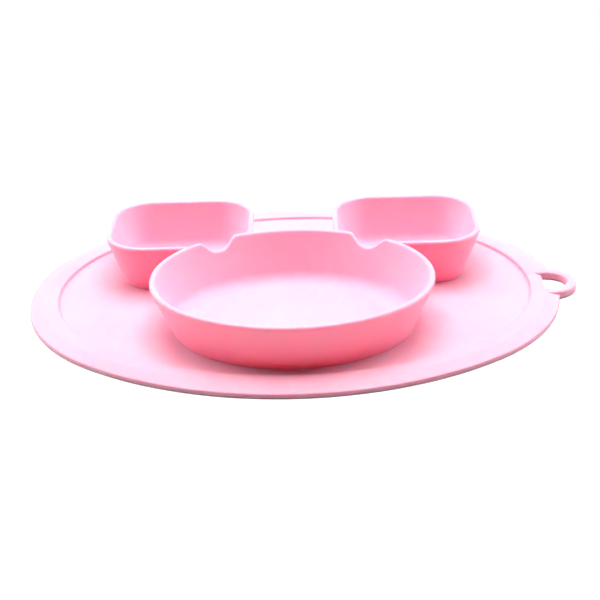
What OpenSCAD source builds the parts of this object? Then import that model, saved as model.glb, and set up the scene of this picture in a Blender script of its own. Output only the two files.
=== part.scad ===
// Suction bowl for a small child: a moulded silicone mat with one large bowl, two side wells,
// three suction cups underneath and a flexible loop at one end. All sizes in mm, +Z up.
// The origin is the middle of the mat on the table plane; the loop points to +X.

/* [Mat] */
// Length of the oval mat, without the loop
mat_length = 280; // [260:1:330]
// Depth of the oval mat
mat_depth = 225; // [203:1:240]
// Thickness of the flat panel between the bowls
panel_t = 2.4; // [1.8:0.1:3.2]

/* [Border] */
// Width of the raised border
border_w = 15.2; // [12:0.2:18]
// Height of the border's flat top
border_h = 4.2; // [3.8:0.1:6]
// Height of the upright outer edge
edge_h = 2; // [1.2:0.1:3]
// Width of the slope from the edge up to the flat top
bevel_w = 7.5; // [4:0.5:9]

/* [Bowls] */
// Height of the rims above the table
rim_h = 29.7; // [24:0.1:38]
// Thickness of the walls; the rim is rounded over fully
wall_t = 3.2; // [2.4:0.1:4]
// Height of the floors above the table
floor_h = 4.6; // [4:0.1:6]

/* [Main bowl] */
// Length over the rim
main_length = 142.6; // [134:0.2:160]
// Depth over the rim
main_depth = 118.8; // [110:0.2:124]
// Bare panel between the bowl's foot and the front of the border
main_gap = 8.5; // [6:0.1:12]
// Lean of the wall
main_draft = 23; // [16:0.5:26]
// Radius between the wall and the floor
main_fillet = 9; // [4:0.5:10]

/* [Side wells] */
// Length over the rim
well_length = 79; // [72:0.5:84]
// Depth over the rim
well_depth = 69; // [64:0.5:74]
// Radius of the corners at the rim
well_corner = 23; // [20:0.5:30]
// Distance of a well's middle from the middle of the mat, along the mat
well_x = 61; // [58:0.5:64]
// Distance of a well's middle behind the middle of the main bowl
well_back = 70.2; // [68:0.2:74]
// Least bare panel between a well's foot and the border
well_gap = 1.5; // [1:0.5:4]
// Lean of the wall
well_draft = 19; // [14:0.5:22]
// Radius between the wall and the floor
well_fillet = 8; // [4:0.5:8.5]

/* [Pouring notches] */
// Radius of the notch in the wall that a well shares with the main bowl
notch_r = 11; // [8:0.5:14]
// Depth of the notch below the rim
notch_depth = 5.8; // [4:0.2:9]
// Place of the notch along the mat
notch_x = 41; // [37:0.5:45]

/* [Suction cups] */
// Radius of the recess under the main bowl
main_recess_r = 38.5; // [30:0.5:39.5]
// Radius of the recess under a side well
well_recess_r = 19.5; // [14:0.5:21]
// Room around a cup's lip for it to spread
cup_room = 2; // [1:0.25:4]
// Thickness of a cup's lip
lip_t = 0.7; // [0.5:0.1:1]
// Floor thickness left over a recess
recess_roof = 2; // [1.5:0.1:2.4]

/* [Hanging loop] */
// Distance of the ring's middle inside the end of the mat
loop_in = 5; // [3:0.5:6]
// Radius of the eye
eye_r = 9.8; // [8:0.2:12]
// Width of the band around the eye
band_w = 5.2; // [4:0.2:7]
// How far the eye cuts into the border
eye_cut = 7; // [4:0.5:9]
// Radius of the band's rounded edges
band_round = 1; // [0.4:0.1:1.6]

/* [Hidden] */
$fn = 96;
// One node name, or all of them

mat_a = mat_length / 2;
mat_b = mat_depth / 2;
main_a = main_length / 2;
main_b = main_depth / 2;
rim_r = wall_t / 2;
main_rest = main_fillet / cos(main_draft);
well_rest = well_fillet / cos(well_draft);

// Offsets are measured outward from the outline of the rim, so inside it they are negative.
function outer_x(lean, z) = rim_r * cos(lean) - rim_r
    - (rim_h - rim_r - rim_r * sin(lean) - z) * tan(lean);
function inner_x(lean, z) = outer_x(lean, z) - wall_t / cos(lean);
main_foot = -outer_x(main_draft, panel_t);
well_foot = -outer_x(well_draft, panel_t);
main_flat = main_rest - inner_x(main_draft, floor_h + main_fillet);
well_flat = well_rest - inner_x(well_draft, floor_h + well_fillet);
well_r = max(well_corner, well_flat + wall_t);

// The main bowl stands main_gap behind the front of the border, or nearer to it where the wells'
// outer corners would come closer to the border than well_gap.
corner_x = well_x + well_length / 2 - well_r;
corner_y = well_back + well_depth / 2 - well_r;
corner_room = end_r(mat_a, mat_b) - border_w - (well_r - well_foot) - well_gap;
corner_back = sqrt(pow(corner_room, 2) - pow(corner_x - mat_a + end_r(mat_a, mat_b), 2));
main_forward = max(mat_b - border_w - main_gap - main_b + main_foot, corner_y - corner_back);
well_y = well_back - main_forward;

recess_h = floor_h - recess_roof;
loop_x = mat_a - loop_in;
hinge_x = mat_a - band_round / 2;
eye_x = mat_a - eye_cut;
ring_r = eye_r + band_w;

// A four-centre oval: two end arcs and two side arcs that meet at a common tangent. The lines
// through the centres run in a 3-4-5 triangle, so the end radius follows from length and depth.
function end_r(a, b) = a - 1.5 * (a - b);
function side_k(a, b) = 2 * (a - b);

// Sweeps a profile (x outward from the oval, y up) around one end of an oval, at +X.
module oval_end(a, b) intersection() {
    mid = a - end_r(a, b);
    far = 2 * a;
    translate([mid, 0, 0]) rotate_extrude() translate([end_r(a, b), 0]) children();
    translate([0, 0, -far]) linear_extrude(2 * far)
        polygon([[mid, 0], [mid + 0.6 * far, -0.8 * far], [mid + 0.6 * far, 0.8 * far]]);
}

// The same along one side, at +Y.
module oval_side(a, b) intersection() {
    k = side_k(a, b);
    far = 2 * a;
    translate([0, -k, 0]) rotate_extrude() translate([b + k, 0]) children();
    translate([0, 0, -far]) linear_extrude(2 * far)
        polygon([[0, -k], [0.6 * far, 0.8 * far - k], [-0.6 * far, 0.8 * far - k]]);
}

module oval_sweep(a, b) for (turn = [0, 180]) rotate(turn) {
    oval_end(a, b) children();
    oval_side(a, b) children();
}

// The flat shape of an oval, drawn in by an even amount.
module oval_shape(a, b, inset) {
    r = end_r(a, b);
    k = side_k(a, b);
    join_x = a - r + (r - inset) * 0.6;
    for (s = [-1, 1]) translate([s * (a - r), 0]) circle(r - inset);
    intersection() {
        translate([0, -k]) circle(b + k - inset);
        translate([0, k]) circle(b + k - inset);
        square([2 * join_x, 4 * b], center = true);
    }
}

// Sweeps a profile around a rectangle with round corners.
module box_sweep(l, d, r) {
    for (turn = [0, 180]) rotate(turn) {
        translate([l / 2 - r, d / 2 - r, 0]) rotate_extrude(angle = 90) translate([r, 0]) children();
        translate([r - l / 2, d / 2 - r, 0]) rotate(90)
            rotate_extrude(angle = 90) translate([r, 0]) children();
        translate([l / 2, d / 2 - r, 0]) rotate([90, 0, 0]) linear_extrude(d - 2 * r) children();
        translate([r - l / 2, d / 2, 0]) rotate(90) rotate([90, 0, 0])
            linear_extrude(l - 2 * r) children();
    }
}

module box_shape(l, d, r, inset) {
    square([l - 2 * r, d - 2 * inset], center = true);
    square([l - 2 * inset, d - 2 * r], center = true);
    for (x = [-1, 1], y = [-1, 1]) translate([x * (l / 2 - r), y * (d / 2 - r)]) circle(r - inset);
}

// Section of a bowl's wall: upright foot, leaning wall, round rim and a hollow radius to the floor.
// The rim goes round in short flats from the outer face over the top to the inner face.
module wall_section(lean, fillet, flat, foot) {
    rim_z = rim_h - rim_r;
    hollow_z = floor_h + fillet;
    rim = [for (i = [0 : 8]) let (t = i * 22.5 - lean) [rim_r * cos(t) - rim_r, rim_z + rim_r * sin(t)]];
    difference() {
        polygon(concat([[-flat - 2, 0], [-foot, 0], [-foot, panel_t]], rim,
            [[fillet * cos(lean) - flat, hollow_z - fillet * sin(lean)], [-flat, floor_h],
            [-flat - 2, floor_h]]));
        translate([-flat, hollow_z]) circle(fillet);
    }
}

// All the room inside the outer face of the main bowl, for the wells to stop at.
module main_room() translate([0, -main_forward, 0]) {
    deep = main_flat + 2;
    top = rim_h + 3;
    oval_sweep(main_a, main_b)
        polygon([[-deep, -1], [outer_x(main_draft, -1), -1], [outer_x(main_draft, top), top],
            [-deep, top]]);
    translate([0, 0, -1]) linear_extrude(top + 1) oval_shape(main_a, main_b, deep - 1);
}

// A notch is a round trough straight across the shared wall.
module notches() {
    wall_y = main_b * sqrt(1 - pow(notch_x / main_a, 2));
    heading = atan2(wall_y / pow(main_b, 2), notch_x / pow(main_a, 2));
    for (s = [0, 1]) mirror([s, 0, 0])
        translate([notch_x, wall_y - main_forward, rim_h - notch_depth + notch_r])
            rotate(heading) rotate([0, -90, 0]) cylinder(r = notch_r, h = 2 * notch_r + 2, center = true);
}

module recess(x, y, r) translate([x, y, -1]) cylinder(r = r, h = recess_h + 1);

module mat_panel() color("#F9BDD2") linear_extrude(panel_t) difference() {
    oval_shape(mat_a, mat_b, border_w);
    translate([0, -main_forward]) oval_shape(main_a, main_b, main_foot);
    for (s = [-1, 1]) translate([s * well_x, well_y]) box_shape(well_length, well_depth, well_r, well_foot);
}

// The band's section is a rectangle with round edges.
module band_section() {
    translate([eye_r + band_round, 0]) square([band_w - 2 * band_round, border_h]);
    translate([eye_r, band_round]) square([band_w, border_h - 2 * band_round]);
    for (x = [eye_r + band_round, ring_r - band_round], y = [band_round, border_h - band_round])
        translate([x, y]) circle(band_round, $fn = 32);
}

module ring() translate([loop_x, 0, 0]) rotate_extrude() band_section();

// The border's ring, upright all round, less a slope swept around its outer edge.
module border_ring() difference() {
    linear_extrude(border_h) difference() {
        oval_shape(mat_a, mat_b, 0);
        oval_shape(mat_a, mat_b, border_w);
    }
    rise = (border_h - edge_h) / bevel_w;
    oval_sweep(mat_a, mat_b)
        polygon([[1, edge_h - rise], [1, border_h + rise], [-bevel_w - 1, border_h + rise]]);
}

module border_rim() color("#F8B4CC") difference() {
    union() {
        border_ring();
        intersection() {
            ring();
            translate([eye_x, -ring_r - 1, -1]) cube([hinge_x - eye_x, 2 * ring_r + 2, border_h + 2]);
        }
    }
    intersection() {
        translate([loop_x, 0, -1]) cylinder(r = eye_r, h = border_h + 2);
        translate([eye_x, -ring_r, -2]) cube([2 * ring_r, 2 * ring_r, border_h + 4]);
    }
    translate([hinge_x, -ring_r, -1]) cube([ring_r, 2 * ring_r, border_h + 2]);
}

module main_wall() wall_section(main_draft, main_fillet, main_flat, main_foot);

module main_bowl() color("#F6A9C4") difference() {
    union() {
        difference() {
            translate([0, -main_forward, 0]) oval_side(main_a, main_b) main_wall();
            notches();
        }
        translate([0, -main_forward, 0]) {
            rotate(180) oval_side(main_a, main_b) main_wall();
            for (turn = [0, 180]) rotate(turn) oval_end(main_a, main_b) main_wall();
            linear_extrude(floor_h) oval_shape(main_a, main_b, main_flat + 1);
        }
    }
    recess(0, -main_forward, main_recess_r);
}

module well() difference() {
    translate([well_x, well_y, 0]) {
        box_sweep(well_length, well_depth, well_r)
            wall_section(well_draft, well_fillet, well_flat, well_foot);
        linear_extrude(floor_h) box_shape(well_length, well_depth, well_r, well_flat + 1);
    }
    main_room();
    recess(well_x, well_y, well_recess_r);
}

module left_well() color("#F7AFC8") mirror([1, 0, 0]) well();

module right_well() color("#F7AFC8") well();

// A shallow suction cup: a boss against the recess and a thin skirt down to the table.
module cup(r) {
    boss = r * 0.3;
    shoulder = boss + 1;
    shoulder_z = recess_h - 0.8;
    seal_w = 1.2;
    rotate_extrude() polygon([[0, recess_h], [boss, recess_h], [shoulder, shoulder_z], [r, lip_t], [r, 0],
        [r - seal_w, 0], [shoulder, shoulder_z - lip_t], [0, shoulder_z - lip_t]]);
}

module main_suction_cup() color("#F4A2BE") translate([0, -main_forward, 0]) cup(main_recess_r - cup_room);

module left_suction_cup() color("#F4A2BE") translate([-well_x, well_y, 0]) cup(well_recess_r - cup_room);

module right_suction_cup() color("#F4A2BE") translate([well_x, well_y, 0]) cup(well_recess_r - cup_room);

module hanging_loop() color("#F8B4CC") difference() {
    ring();
    translate([hinge_x - 2 * ring_r, -ring_r - 1, -1]) cube([2 * ring_r, 2 * ring_r + 2, border_h + 2]);
}

mat_panel();
border_rim();
main_bowl();
left_well();
right_well();
main_suction_cup();
left_suction_cup();
right_suction_cup();
hanging_loop();
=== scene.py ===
# %% [markdown]
# # A soft silicone suction bowl
#
# A feeding mat for a small child: a thin oval mat with a raised border, one large bowl, two side
# wells that pour into it over notches, suction cups underneath and a bendy loop at one end.
# The CAD frame brings the solids and the joint of the loop, and the main sizes below repeat the
# CAD's own. This lesson gives the pieces their soft moulded edges and the matte pink silicone.
# Lengths are in millimetres until a mesh is made.

# %% Frame and tools
import math

import bpy
import numpy as np
from mathutils import Matrix, Vector


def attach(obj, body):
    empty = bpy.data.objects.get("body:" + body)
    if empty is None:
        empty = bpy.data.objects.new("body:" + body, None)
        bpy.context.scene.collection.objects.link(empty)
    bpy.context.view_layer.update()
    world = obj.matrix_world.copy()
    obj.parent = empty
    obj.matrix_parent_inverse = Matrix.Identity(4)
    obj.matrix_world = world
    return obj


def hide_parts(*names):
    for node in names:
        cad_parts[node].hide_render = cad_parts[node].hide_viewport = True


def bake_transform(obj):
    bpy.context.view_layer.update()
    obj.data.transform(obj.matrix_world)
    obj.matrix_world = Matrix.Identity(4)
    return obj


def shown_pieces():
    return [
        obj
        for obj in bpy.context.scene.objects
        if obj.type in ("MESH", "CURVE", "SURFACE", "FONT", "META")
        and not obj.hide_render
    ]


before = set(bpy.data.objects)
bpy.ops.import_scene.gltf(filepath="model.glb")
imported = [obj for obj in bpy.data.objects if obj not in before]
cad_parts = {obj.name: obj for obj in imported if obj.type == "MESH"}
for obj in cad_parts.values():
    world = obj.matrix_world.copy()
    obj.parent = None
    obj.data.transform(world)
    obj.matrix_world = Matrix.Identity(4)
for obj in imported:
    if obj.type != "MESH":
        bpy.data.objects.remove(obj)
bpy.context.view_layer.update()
print("CAD nodes:", ", ".join(sorted(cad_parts)))

# %% [markdown]
# ## Outlines
#
# Seen from above, the mat and the main bowl are ovals. An outline here is a closed row of points,
# each with the direction that points straight out of it, so a section can be carried round it: a
# section point lies at the outline point plus its offset along that direction. A stretched
# cylinder with a bevel could give similar forms, but its walls would not stay equally thick all
# round. The oval is made of four arcs, because every even offset of such an oval is again one of
# its kind.

# %% Oval outline
# The arcs join where the outward direction has the slope of a 3-4-5 triangle. Their centres then
# lie these shares of the difference between half length and half depth from the middle.
JOIN_COS, JOIN_SIN = 0.6, 0.8
END_SHARE, SIDE_SHARE = 1.5, 2.0


def oval(half_length, half_depth, count, extra=None):
    """Four-arc oval: the arc's centre plus its radius along the outward direction, at even angles."""
    phi = np.linspace(-np.pi, np.pi, count, endpoint=False)
    if extra is not None:
        phi = np.unique(np.concatenate([phi, extra]))
    c, s = np.cos(phi), np.sin(phi)
    end_x = END_SHARE * (half_length - half_depth)
    side_y = SIDE_SHARE * (half_length - half_depth)
    is_end = np.abs(c) > JOIN_COS
    centre_x = np.where(is_end, np.sign(c) * end_x, 0.0)
    centre_y = np.where(is_end, 0.0, -np.sign(s) * side_y)
    radius = np.where(is_end, half_length - end_x, half_depth + side_y)
    points = np.stack([centre_x + radius * c, centre_y + radius * s], 1)
    return points, np.stack([c, s], 1)


trial = oval(4, 3, 100)[0]
print(f"a trial oval of 8 by 6 measures {np.ptp(trial[:, 0]):.2f} by {np.ptp(trial[:, 1]):.2f}")

# %% [markdown]
# ## From rows to a mesh
#
# Every new piece is a grid: rows run round the outline, columns run along the section. The quads
# come from index arithmetic on whole arrays. An open end closes with a flat cap, and a section
# that is a loop of its own, like the border's, closes on its start. Edges sharper than a set angle
# stay crisp and all others are shaded smooth, as on a moulding.

# %% Grid to mesh
# A millimetre in metres, Blender's unit
MM = 0.001
# Degrees between two faces from which their edge stays crisp
CRISP_ANGLE = 40


def grid_piece(name, grid, caps=True, wrap=False):
    """Mesh from a grid [around, along, xyz] in mm: each cell a quad, closed around, ends as asked."""
    around, along = grid.shape[:2]
    index = np.arange(around * along).reshape(around, along)
    right = np.roll(index, -1, 0)
    if wrap:
        index = np.concatenate([index, index[:, :1]], 1)
        right = np.concatenate([right, right[:, :1]], 1)
    low, low_right = index[:, :-1], right[:, :-1]
    up, up_right = index[:, 1:], right[:, 1:]
    faces = np.stack([low, low_right, up_right, up], -1).reshape(-1, 4).tolist()
    if caps:
        faces += [index[::-1, 0].tolist(), index[:, -1].tolist()]
    mesh = bpy.data.meshes.new(name)
    mesh.from_pydata((grid.reshape(-1, 3) * MM).tolist(), [], faces)
    mesh.polygons.foreach_set("use_smooth", np.ones(len(mesh.polygons), bool))
    mesh.set_sharp_from_angle(angle=math.radians(CRISP_ANGLE))
    mesh.update()
    piece = bpy.data.objects.new(name, mesh)
    bpy.context.scene.collection.objects.link(piece)
    print(f"{name}: {len(mesh.polygons)} faces")
    return piece


def outward(piece):
    """Turns a piece's faces so that they point out: the sum of signed wedge volumes is positive."""
    mesh = piece.data
    mesh.calc_loop_triangles()
    corners = np.zeros(len(mesh.loop_triangles) * 3, np.int32)
    mesh.loop_triangles.foreach_get("vertices", corners)
    points = np.zeros(len(mesh.vertices) * 3)
    mesh.vertices.foreach_get("co", points)
    a, b, c = points.reshape(-1, 3)[corners.reshape(-1, 3)].transpose(1, 0, 2)
    if np.einsum("ij,ij->i", a, np.cross(b, c)).sum() < 0:
        mesh.flip_normals()
    return piece


print("edges sharper than", CRISP_ANGLE, "degrees stay crisp")

# %% [markdown]
# ## The section of a bowl
#
# The bowls leave the mould with a leaning wall of even thickness, a rim that is flat on top and
# round at its edges, a round hollow and a flat floor, with a recess for the suction cup below.
# Modelling a solid and bevelling it could do for a plain bowl, but these rims dip at the notches.
# So one section is written as a formula of the rim's height and carried round the outline. Where
# the rim dips it follows the lean of the wall, as a moulded spout does.

# %% Wall and rim
RIM_H, WALL_T = 29.7, 3.2
RIM_R = WALL_T / 2
# Power of the curve over the rim: 2 is round, more is flatter on top
RIM_FLAT = 3.0
RIM_STEPS = 15


def outer_wall(z, lean):
    """Offset of the wall's outer face at height z: a straight line that touches the rim's round."""
    touch_z = RIM_H - RIM_R - RIM_R * math.sin(lean)
    return RIM_R * math.cos(lean) - RIM_R - (touch_z - z) * math.tan(lean)


def rim_curve(lean):
    """Points over the rim from wall to wall: a circle pushed out towards a square around its top."""
    t = np.linspace(-lean, math.pi - lean, RIM_STEPS)[None, 1:-1]
    square = (np.abs(np.cos(t)) ** RIM_FLAT + np.abs(np.sin(t)) ** RIM_FLAT) ** (-1 / RIM_FLAT)
    radius = RIM_R * (1 + (square - 1) * np.sin(t + lean) ** 2)
    return radius * np.cos(t), radius * np.sin(t)


print(f"walls {WALL_T} mm thick, rims up to {RIM_H} mm above the table")

# %% Bowl section
PANEL_T, FLOOR_H = 2.4, 4.6
# How far walls and steps run into the panel, so that no gap shows
BURY = 0.2
WALL_STEPS, HOLLOW_STEPS = 26, 18


def arc(offset, up, radius, start, stop, count):
    """Circle arc in a section: centre plus radius, angles in degrees from outward towards up."""
    t = np.radians(np.linspace(start, stop, count))
    return np.stack([offset + radius * np.cos(t), up + radius * np.sin(t)], 1)


def bowl_section(lean, fillet, rim_height):
    """Rows of offset and height, one for each rim height: up the wall, over the rim, to the floor."""
    cos, sin = math.cos(lean), math.sin(lean)
    u = np.linspace(0, 1, WALL_STEPS)[None]
    rim_z = rim_height[:, None] - RIM_R
    rim_n = outer_wall(rim_z - RIM_R * sin, lean) - RIM_R * cos
    wall_low = PANEL_T - BURY
    wall_z = wall_low + (rim_z - RIM_R * sin - wall_low) * u
    wall = np.stack([outer_wall(wall_z, lean), wall_z], -1)
    over_n, over_z = rim_curve(lean)
    rim = np.stack([rim_n + over_n, rim_z + over_z], -1)
    hollow_z = FLOOR_H + fillet
    hollow_n = outer_wall(hollow_z, lean) - (WALL_T + fillet) / cos
    inner_top = rim_z + RIM_R * sin
    inner_z = inner_top + (hollow_z - fillet * sin - inner_top) * u
    inner = np.stack([outer_wall(inner_z, lean) - WALL_T / cos, inner_z], -1)
    hollow = arc(hollow_n, hollow_z, fillet, -math.degrees(lean), -90, HOLLOW_STEPS)[1:]
    hollow = np.repeat(hollow[None], len(rim_height), 0)
    return np.concatenate([wall, rim, inner, hollow], 1)


print(f"panel {PANEL_T} mm thick, floors {FLOOR_H} mm above the table")

# %% Bowl grid
RECESS_H = 2.6
# The recess opens a little at its mouth, up to this height and by this factor
MOUTH_H, MOUTH_SPREAD = 0.3, 1.005
# Rings across the floor as shares of its edge; the last one is also the hub of the recess
FLOOR_RINGS = (0.96, 0.75, 0.4, 0.05)


def bowl_grid(outline, middle, lean, fillet, recess_r, rim_height):
    """Grid of a bowl: rings of the recess, the section round the outline, then the floor's rings."""
    points, normals = outline
    lean = math.radians(lean)
    section = bowl_section(lean, fillet, rim_height)
    body = points[:, None] + section[..., :1] * normals[:, None]
    body = np.concatenate([body, section[..., 1:]], -1)
    base = points + outer_wall(PANEL_T, lean) * normals
    polar = np.arctan2(base[:, 1], base[:, 0])
    circle = recess_r * np.stack([np.cos(polar), np.sin(polar)], 1)

    def ring(xy, z):
        return np.concatenate([xy, np.full((len(xy), 1), z)], 1)[:, None]

    under = [ring(circle * FLOOR_RINGS[-1], RECESS_H), ring(circle, RECESS_H)]
    under += [ring(circle, MOUTH_H), ring(circle * MOUTH_SPREAD, 0.0), ring(base, 0.0)]
    floor = [ring(body[:, -1, :2] * share, FLOOR_H) for share in FLOOR_RINGS]
    return np.concatenate([*under, body, *floor], 1) + np.array([*middle, 0.0])


print(f"recess {RECESS_H} mm deep, {FLOOR_H - RECESS_H:.1f} mm of floor above it")

# %% [markdown]
# ## The main bowl
#
# The main bowl is an oval, and its rim dips into a pouring notch towards each well. Cutting the
# notch with a cylinder would leave its edges sharp, so the rim's height is lowered by a bell that
# fades with the distance from the notch's middle, and the section above does the rest.

# %% Main bowl
MAIN_A, MAIN_B, MAIN_Y = 71.3, 59.4, -40.2
MAIN_LEAN, MAIN_FILLET, MAIN_RECESS_R = 23.0, 9.0, 38.5
NOTCH_X, NOTCH_DEPTH, NOTCH_HALF = 41.0, 5.8, 11.2
# Above 1, the bell has a broader bottom and steeper sides
NOTCH_POWER = 1.5
MAIN_AROUND = 900
# Middle of a notch on the rim, with the outline taken as an ellipse
notch_y = MAIN_B * math.sqrt(1 - (NOTCH_X / MAIN_A) ** 2)


def dip(distance):
    """Share of the notch's depth at a distance from its middle: half a cosine wave of a power of it."""
    x = np.clip(np.abs(distance) / NOTCH_HALF, 0, 1)
    return 0.5 + 0.5 * np.cos(np.pi * x**NOTCH_POWER)


def main_rim(points):
    """Height of the main bowl's rim at outline points: the full height less both notches."""
    height = np.full(points.shape[:-1], RIM_H)
    for side in (-1, 1):
        distance = np.linalg.norm(points - np.array([side * NOTCH_X, notch_y]), axis=-1)
        height = height - NOTCH_DEPTH * dip(distance)
    return height


outline = oval(MAIN_A, MAIN_B, MAIN_AROUND)
rim = main_rim(outline[0])
main_grid = bowl_grid(outline, (0, MAIN_Y), MAIN_LEAN, MAIN_FILLET, MAIN_RECESS_R, rim)
main_bowl = outward(grid_piece("main_bowl_soft", main_grid))
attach(main_bowl, "mat")
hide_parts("main_bowl")
print(f"rim {rim.max():.1f} mm high, {rim.min():.1f} mm in the notches")

# %% [markdown]
# ## The side wells
#
# A well is the same section round a rectangle with round corners. It has no wall of its own where
# it meets the main bowl. A boolean could trim it, but its cut edge would shade badly. Instead,
# points that would pass through the shared wall are drawn back to the middle of that wall, so
# nothing shows on the other side, and they stay under the notch.

# %% Rounded rectangle
def rounded_box(length, depth, radius, step):
    """Rectangle with round corners: four quarter arcs and four straight runs, at an even step."""
    points, normals = [], []
    for quarter in range(4):
        turn = quarter * np.pi / 2
        along, across = (length, depth) if quarter % 2 == 0 else (depth, length)
        spin = np.array([[np.cos(turn), -np.sin(turn)], [np.sin(turn), np.cos(turn)]])
        corner = spin @ np.array([along / 2 - radius, across / 2 - radius])
        n_arc = int(radius * np.pi / 2 / step) + 2
        phi = turn + np.linspace(0, np.pi / 2, n_arc, endpoint=False)
        out_arc = np.stack([np.cos(phi), np.sin(phi)], 1)
        points.append(corner + radius * out_arc)
        normals.append(out_arc)
        n_run = int((along - 2 * radius) / step) + 2
        share = np.linspace(0, 1, n_run, endpoint=False)[:, None]
        out_run = np.array([np.cos(turn + np.pi / 2), np.sin(turn + np.pi / 2)])
        run = spin @ np.array([-(along - 2 * radius), 0.0])
        points.append(corner + radius * out_run + run * share)
        normals.append(np.repeat(out_run[None], n_run, 0))
    return np.concatenate(points), np.concatenate(normals)


print("a trial rectangle has", len(rounded_box(4, 3, 1, 0.1)[0]), "points")

# %% Shared wall
# How far a well's hidden points stay below the main bowl's rim
UNDER_RIM = 0.8
# Step for measuring a slope
TINY = 0.01


def oval_offset(points, half_length, half_depth):
    """How far points lie outside a four-arc oval: distance to the arc's centre less the radius."""
    end_x = END_SHARE * (half_length - half_depth)
    side_y = SIDE_SHARE * (half_length - half_depth)
    x, y = np.abs(points[..., 0]), np.abs(points[..., 1])
    from_end = np.stack([x - end_x, y], -1)
    from_side = np.stack([x, y + side_y], -1)
    is_end = from_end[..., 1] * JOIN_COS < from_end[..., 0] * JOIN_SIN
    past_end = np.linalg.norm(from_end, axis=-1) - (half_length - end_x)
    past_side = np.linalg.norm(from_side, axis=-1) - (half_depth + side_y)
    return np.where(is_end, past_end, past_side)


def stop_at_main(grid):
    """Points past the middle of the main wall move outward by that much and stay under its rim."""
    lean = math.radians(MAIN_LEAN)
    local = grid[..., :2] - np.array([0, MAIN_Y])
    z = grid[..., 2]

    def offset(shift):
        return oval_offset(local + np.array(shift), MAIN_A, MAIN_B)

    middle = outer_wall(z, lean) - RIM_R / math.cos(lean)
    past = np.maximum(middle - offset([0, 0]), 0)
    slope_x = offset([TINY, 0]) - offset([-TINY, 0])
    slope_y = offset([0, TINY]) - offset([0, -TINY])
    away = np.stack([slope_x, slope_y], -1) / (2 * TINY)
    moved = local + past[..., None] * away
    top = main_rim(moved - middle[..., None] * away) - UNDER_RIM
    z = np.where(past > 0, np.minimum(z, top), z)
    return np.concatenate([moved + np.array([0, MAIN_Y]), z[..., None]], -1)


stray = np.abs(oval_offset(oval(4, 3, 100)[0], 4, 3)).max()
print(f"points of a trial oval lie within {stray:.0e} of it")

# %% Wells
WELL_L, WELL_D, WELL_R = 79.0, 69.0, 23.0
WELL_X, WELL_Y = 61.0, 30.0
WELL_LEAN, WELL_FILLET, WELL_RECESS_R = 19.0, 8.0, 19.5
OUTLINE_STEP = 0.45
outline = rounded_box(WELL_L, WELL_D, WELL_R, OUTLINE_STEP)
rim = np.full(len(outline[0]), RIM_H)
well_grid = bowl_grid(outline, (WELL_X, WELL_Y), WELL_LEAN, WELL_FILLET, WELL_RECESS_R, rim)
well_grid = stop_at_main(well_grid)
for name, side in (("left_well", -1), ("right_well", 1)):
    well = outward(grid_piece(name + "_soft", well_grid * np.array([side, 1, 1])))
    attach(well, "mat")
    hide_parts(name)

# %% [markdown]
# ## The border
#
# The raised border keeps spills on the mat. Its section has an upright edge, a slope, a flat top
# and a soft step down to the panel, and every corner is eased, as mouldings have it. The step is
# an S of two equal arcs. A bevel modifier could round the edges, but not each by its own radius.
# At the loop the section is squeezed towards the middle of the mat, which opens the eye without a
# boolean.

# %% Border section
MAT_A, MAT_B = 140.0, 112.5
BORDER_W, BORDER_H, EDGE_H, BEVEL_W = 15.2, 4.2, 2.0, 7.5
STEP_W = 2.0
# Radius below the edge, above it, and where the slope meets the flat top
FOOT_ROUND, EDGE_ROUND, TOP_ROUND = 0.4, 0.7, 4.0
# The edge's upper round starts this far below EDGE_H, and the flat top this far inside BEVEL_W
EDGE_DROP, TOP_IN = 0.25, 0.3
FOOT_STEPS, EDGE_STEPS, BEND_STEPS = 6, 8, 10


def border_section():
    """Closed section from the inner foot, under the edge, up the slope, over the top and down."""
    slope = math.degrees(math.atan2(BORDER_H - EDGE_H, BEVEL_W))
    tilt = 2 * math.atan2(BORDER_H - PANEL_T, STEP_W)
    bend = STEP_W / 2 / math.sin(tilt)
    tilt = math.degrees(tilt)
    return np.concatenate([
        [[-BORDER_W, 0.0], [-BORDER_W / 2, 0.0]],
        arc(-FOOT_ROUND, FOOT_ROUND, FOOT_ROUND, -90, 0, FOOT_STEPS),
        arc(-EDGE_ROUND, EDGE_H - EDGE_DROP, EDGE_ROUND, 0, 90 - slope, EDGE_STEPS),
        arc(-BEVEL_W - TOP_IN, BORDER_H - TOP_ROUND, TOP_ROUND, 90 - slope, 90, BEND_STEPS),
        arc(-BORDER_W + STEP_W / 2, BORDER_H - bend, bend, 90, 90 + tilt, BEND_STEPS),
        arc(-BORDER_W - STEP_W / 2, PANEL_T + bend, bend, tilt - 90, -90, BEND_STEPS)[1:],
        [[-BORDER_W - STEP_W / 2 - BURY, PANEL_T - BURY]],
    ])


print("border section:", len(border_section()), "points")

# %% Border
BORDER_AROUND = 720
# Extra points near the loop: this many within this many degrees to each side
NEAR_COUNT, NEAR_ANGLE = 700, 9
# Inner end of the eye, half its opening in the border, and the length over which the cut eases in
EYE_X, EYE_HALF, EYE_EASE = 133.0, 11.2, 1.0
near = np.radians(np.linspace(-NEAR_ANGLE, NEAR_ANGLE, NEAR_COUNT))
edge, out_dir = oval(MAT_A, MAT_B, BORDER_AROUND, near)
section = border_section()
offset = np.repeat(section[None, :, 0], len(edge), 0)
ease = np.clip((EYE_HALF - np.abs(edge[:, 1])) / EYE_EASE, 0, 1) * (edge[:, 0] > 0)
cut = (edge[:, 0] - EYE_X) * ease * ease * (3 - 2 * ease)
offset = offset - cut[:, None] * np.clip((offset + BORDER_W) / BORDER_W, 0, 1)
xy = edge[:, None] + offset[..., None] * out_dir[:, None]
height = np.repeat(section[None, :, 1:], len(edge), 0)
border_grid = np.concatenate([xy, height], -1)
border = outward(grid_piece("border_soft", border_grid, caps=False, wrap=True))
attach(border, "mat")
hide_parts("border_rim")

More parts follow.
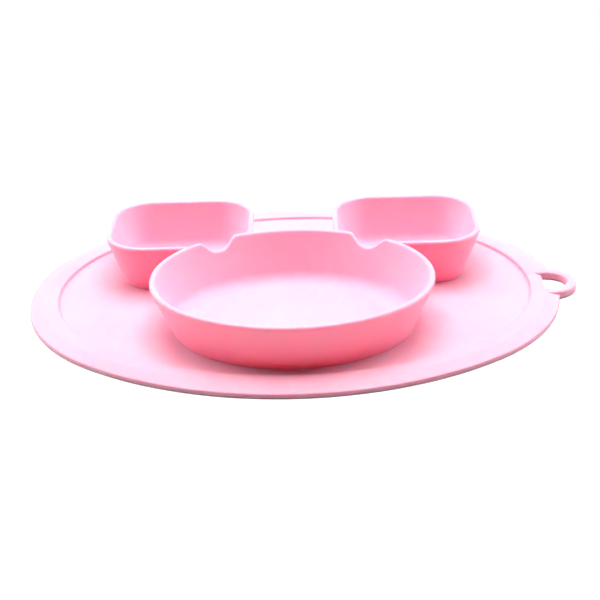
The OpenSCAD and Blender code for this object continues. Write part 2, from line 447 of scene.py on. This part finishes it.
# %% [markdown]
# ## The hanging loop
#
# A band with round edges goes round the eye, and both its ends sink into the border. The mat hangs
# by it, and a finger can lift it, so it bends at its root.

# %% Loop
LOOP_X, EYE_R, BAND_W, BAND_ROUND = 135.0, 9.8, 5.2, 1.0
# The band's top lies just under the border's, so that no two faces share a plane
BAND_SINK = 0.06
BAND_H = BORDER_H - BAND_SINK
# Half the turn of the band, so that its ends are inside the border, and the steps along it
LOOP_TURN, LOOP_STEPS, ROUND_STEPS = 112, 240, 7


def loop_section():
    """Rectangle with round edges: four quarter arcs, offsets measured from the eye's wall."""
    r, w, h = BAND_ROUND, BAND_W, BAND_H
    return np.concatenate([
        arc(r, h - r, r, 180, 90, ROUND_STEPS),
        arc(w - r, h - r, r, 90, 0, ROUND_STEPS),
        arc(w - r, r, r, 0, -90, ROUND_STEPS),
        arc(r, r, r, -90, -180, ROUND_STEPS),
    ])


turn = np.radians(np.linspace(-LOOP_TURN, LOOP_TURN, LOOP_STEPS))
across = np.stack([np.cos(turn), np.sin(turn)], 1)
section = loop_section()
xy = across[:, None] * (EYE_R + section[None, :, :1])
grid = np.concatenate([xy, np.repeat(section[None, :, 1:], len(turn), 0)], -1)
grid = grid.transpose(1, 0, 2) + np.array([LOOP_X, 0, 0])
loop = outward(grid_piece("hanging_loop_soft", grid))
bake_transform(loop)
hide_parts("hanging_loop")

# %% [markdown]
# ## Silicone
#
# The real mat is food-grade silicone, moulded in a tool with a finely blasted surface. Light goes
# a short way into it, most of all red, so shaded walls glow and creases turn a deep pink. A plain
# pink paint would leave them dull. Subsurface scattering on a Principled shader gives the glow,
# and one noise gives the grain to both the roughness and a faint bump. The blasted grain itself is
# too fine to show at this distance, so it is drawn coarser. A slow second noise lets the tint
# drift a little, so that large areas do not look painted.
#
# Two materials share one recipe. The standing walls pass red light on for millimetres. The pieces
# that lie on the table send their light straight back up, so theirs is shallow: with a deep one,
# the red of a thin sheet would be lost underneath. Their tint also holds a little less blue than the
# walls': a painted highlight tone, so that their brightly lit flat tops clip to a whiter pink.

# %% Colours and nodes
def srgb(text):
    """Linear colour from an sRGB hex value: the standard's straight foot, then its power curve."""
    v = np.array([int(text[i : i + 2], 16) for i in (1, 3, 5)]) / 255
    lin = np.where(v <= 0.04045, v / 12.92, ((v + 0.055) / 1.055) ** 2.4)
    return (*lin.tolist(), 1.0)


def add_node(tree, kind, links=(), **settings):
    """Adds a shader node, sets settings and sockets by name, and links each (socket, source) pair."""
    node = tree.nodes.new(kind)
    for key, value in settings.items():
        if hasattr(node, key):
            setattr(node, key, value)
        else:
            node.inputs[key.replace("_", " ")].default_value = value
    for key, source in links:
        tree.links.new(source, node.inputs[key])
    return node


print(f"the middle grey #808080 is {srgb('#808080')[0]:.3f} in linear light")

# %% Silicone recipe
# Sizes in mm of the grain and of the drift in tint. A pixel is about half a millimetre here and the
# blasted grain is far finer, so it is drawn coarser than it is.
GRAIN, FLOW = 0.7, 30.0
# Roughness between the grain's hollows and its tops: a broad sheen and no mirror
SHEEN_LOW, SHEEN_HIGH = 0.48, 0.66
# Height of the grain in mm, and how much of it the bump shows
GRAIN_HEIGHT, GRAIN_STRENGTH = 0.2, 0.06
# Share of the light that goes in and comes out again, and silicone's usual refractive index
INNER_LIGHT, SILICONE_IOR = 0.9, 1.41
# How far red, green and blue travel, as shares of the depth
RED_GREEN_BLUE = (1.0, 0.15, 0.22)


def silicone(name, depth, pale, deep):
    """Moulded silicone: a tint between pale and deep, red light goes depth mm in, the rest a share."""
    material = bpy.data.materials.new(name)
    material.use_nodes = True
    tree = material.node_tree
    tree.nodes.clear()
    where = add_node(tree, "ShaderNodeTexCoord")
    at = [("Vector", where.outputs["Object"])]
    grain = add_node(tree, "ShaderNodeTexNoise", at, Scale=1 / (GRAIN * MM), Detail=3.0)
    flow = add_node(tree, "ShaderNodeTexNoise", at, Scale=1 / (FLOW * MM), Detail=2.0)
    tint = add_node(tree, "ShaderNodeMix", [("Factor", flow.outputs["Fac"])], data_type="RGBA")
    tint.inputs["A"].default_value = srgb(pale)
    tint.inputs["B"].default_value = srgb(deep)
    sheen = add_node(tree, "ShaderNodeMapRange", [("Value", grain.outputs["Fac"])],
        To_Min=SHEEN_LOW, To_Max=SHEEN_HIGH)
    bump = add_node(tree, "ShaderNodeBump", [("Height", grain.outputs["Fac"])],
        Strength=GRAIN_STRENGTH, Distance=GRAIN_HEIGHT * MM)
    body = add_node(tree, "ShaderNodeBsdfPrincipled",
        [("Base Color", tint.outputs["Result"]), ("Roughness", sheen.outputs["Result"]),
         ("Normal", bump.outputs["Normal"])],
        Subsurface_Weight=INNER_LIGHT, Subsurface_Scale=depth * MM,
        Subsurface_Radius=RED_GREEN_BLUE, IOR=SILICONE_IOR)
    add_node(tree, "ShaderNodeOutputMaterial", [("Surface", body.outputs["BSDF"])])
    return material


print(f"roughness {SHEEN_LOW} to {SHEEN_HIGH} over a grain of {GRAIN} mm")

# %% Silicone on the pieces
# Gives the eye thick walls that glow a warm pink from inside
wall_silicone = silicone("pink_silicone_wall", depth=8.0, pale="#F9B2CA", deep="#F5A8C1")
# Gives the eye a thin, even sheet; its tint, a little less blue than the walls', is a painted
# highlight tone, so that the brightly lit flat tops clip to a whiter pink
mat_silicone = silicone("pink_silicone_mat", depth=0.4, pale="#F9B3C7", deep="#F5A9BE")
# Pieces that lie on the table; the others stand or are hidden underneath
ON_TABLE = ("mat_panel", "border_soft", "hanging_loop_soft")
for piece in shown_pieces():
    piece.data.materials.clear()
    piece.data.materials.append(mat_silicone if piece.name in ON_TABLE else wall_silicone)
    print(piece.name, piece.data.materials[0].name)

# %% [markdown]
# ## Floor and backdrop
#
# The mat lies on white paper in front of a white backdrop. A bright lamp could burn the paper out,
# but it would burn the mat out too. So the paper is white only where the camera, a reflection or a
# see-through ray meets it: it keeps the mat's shadow close by and fades to plain white further
# off. For the light that bounces on from it, the paper is a dull grey.

# %% What sees the backdrop
WHITE = srgb("#FFFFFF")
# Strength of the backdrop's own light, where 1 renders as white
BACKDROP = 1.0


def seen_directly(tree):
    """Output that is the largest of three flags: a camera ray, a reflection, a see-through ray."""
    path = add_node(tree, "ShaderNodeLightPath")
    mirrored = add_node(tree, "ShaderNodeMath",
        [(0, path.outputs["Is Camera Ray"]), (1, path.outputs["Is Glossy Ray"])],
        operation="MAXIMUM")
    through = add_node(tree, "ShaderNodeMath",
        [(0, mirrored.outputs[0]), (1, path.outputs["Is Transmission Ray"])],
        operation="MAXIMUM")
    return through.outputs[0]


print("backdrop colour:", WHITE)

# %% Floor
# Distances from the middle between which the paper fades to white, in metres
FADE_NEAR, FADE_FAR = 0.2, 0.5
# Edge length of the paper and its height, just under the table plane, in metres
FLOOR_SIZE, FLOOR_Z = 6, -0.0002
bpy.ops.mesh.primitive_plane_add(size=FLOOR_SIZE, location=(0, 0, FLOOR_Z))
floor = bpy.context.object
floor.name = "floor"
paper = bpy.data.materials.new("paper_sweep")
paper.use_nodes = True
tree = paper.node_tree
tree.nodes.clear()
seen = seen_directly(tree)
white = add_node(tree, "ShaderNodeBsdfDiffuse", Color=srgb("#F8F8F8"))
dull = add_node(tree, "ShaderNodeBsdfDiffuse", Color=srgb("#BEBABB"))
glow = add_node(tree, "ShaderNodeEmission", Color=WHITE, Strength=BACKDROP)
where = add_node(tree, "ShaderNodeTexCoord")
away = add_node(tree, "ShaderNodeVectorMath", [(0, where.outputs["Object"])], operation="LENGTH")
fade = add_node(tree, "ShaderNodeMapRange", [("Value", away.outputs["Value"])],
    interpolation_type="SMOOTHSTEP", From_Min=FADE_NEAR, From_Max=FADE_FAR)
paper_seen = add_node(tree, "ShaderNodeMixShader",
    [(0, fade.outputs["Result"]), (1, white.outputs["BSDF"]), (2, glow.outputs["Emission"])])
mix = add_node(tree, "ShaderNodeMixShader",
    [(0, seen), (1, dull.outputs["BSDF"]), (2, paper_seen.outputs["Shader"])])
add_node(tree, "ShaderNodeOutputMaterial", [("Surface", mix.outputs["Shader"])])
floor.data.materials.append(paper)
print("paper fades to white from", FADE_NEAR, "to", FADE_FAR, "m")

# %% Backdrop
# Strength of the faint light that comes from all round
AIR = 0.033
world = bpy.data.worlds.new("studio")
bpy.context.scene.world = world
world.use_nodes = True
tree = world.node_tree
tree.nodes.clear()
seen = seen_directly(tree)
air = add_node(tree, "ShaderNodeBackground", Color=WHITE, Strength=AIR)
backdrop = add_node(tree, "ShaderNodeBackground", Color=WHITE, Strength=BACKDROP)
mix = add_node(tree, "ShaderNodeMixShader",
    [(0, seen), (1, air.outputs["Background"]), (2, backdrop.outputs["Background"])])
add_node(tree, "ShaderNodeOutputWorld", [("Surface", mix.outputs["Shader"])])
print("light from all round:", AIR)

# %% [markdown]
# ## Lamps
#
# A product shot of something soft wants soft light: a large softbox above and a little behind,
# which leaves the front wall in shade, and a smaller one at each side for the outer walls of the
# wells. Small lamps would draw hard shadows across the panel.

# %% Lamps
# Name, place in metres, edge length in metres and power in watts; all aim at the mat's middle
LAMPS = (
    ("top_light", (0, 0.14, 1.05), 0.9, 20),
    ("left_light", (-0.8, 0.2, 0.5), 0.5, 5.5),
    ("right_light", (0.8, 0.2, 0.5), 0.5, 5.5),
)
for name, place, size, power in LAMPS:
    light = bpy.data.lights.new(name, "AREA")
    light.shape = "SQUARE"
    light.size = size
    light.energy = power
    lamp = bpy.data.objects.new(name, light)
    bpy.context.scene.collection.objects.link(lamp)
    lamp.location = place
    lamp.rotation_euler = (-Vector(place)).to_track_quat("-Z", "Y").to_euler()
    print(name, power, "W")

# %% [markdown]
# ## Camera
#
# The view is the photo's own: a long lens in front of the mat, about 25 degrees above the table and
# turned by a small roll. Its place could be set by eye, but fitting a camera to the photo gave it
# more closely. The view transform is Standard, so that colours render as they are written.

# %% Camera
# Sensor and focal length in mm, shifts as shares of the picture, place in metres, roll in radians
SENSOR, LENS = 36, 81.55
SHIFT_X, SHIFT_Y = 0.0096, -0.0112
CAMERA_AT = Vector((0.01338, -0.65594, 0.31294))
ROLL = -0.0332
lens = bpy.data.cameras.new("photo_camera")
lens.sensor_width = SENSOR
lens.lens = LENS
lens.shift_x = SHIFT_X
lens.shift_y = SHIFT_Y
camera = bpy.data.objects.new("photo_camera", lens)
bpy.context.scene.collection.objects.link(camera)
look = (-CAMERA_AT).to_track_quat("-Z", "Y").to_matrix().to_4x4()
camera.matrix_world = Matrix.Translation(CAMERA_AT) @ look @ Matrix.Rotation(ROLL, 4, "Z")
scene = bpy.context.scene
scene.camera = camera
scene.view_settings.view_transform = "Standard"
print(f"camera {CAMERA_AT.length:.3f} m from the middle")
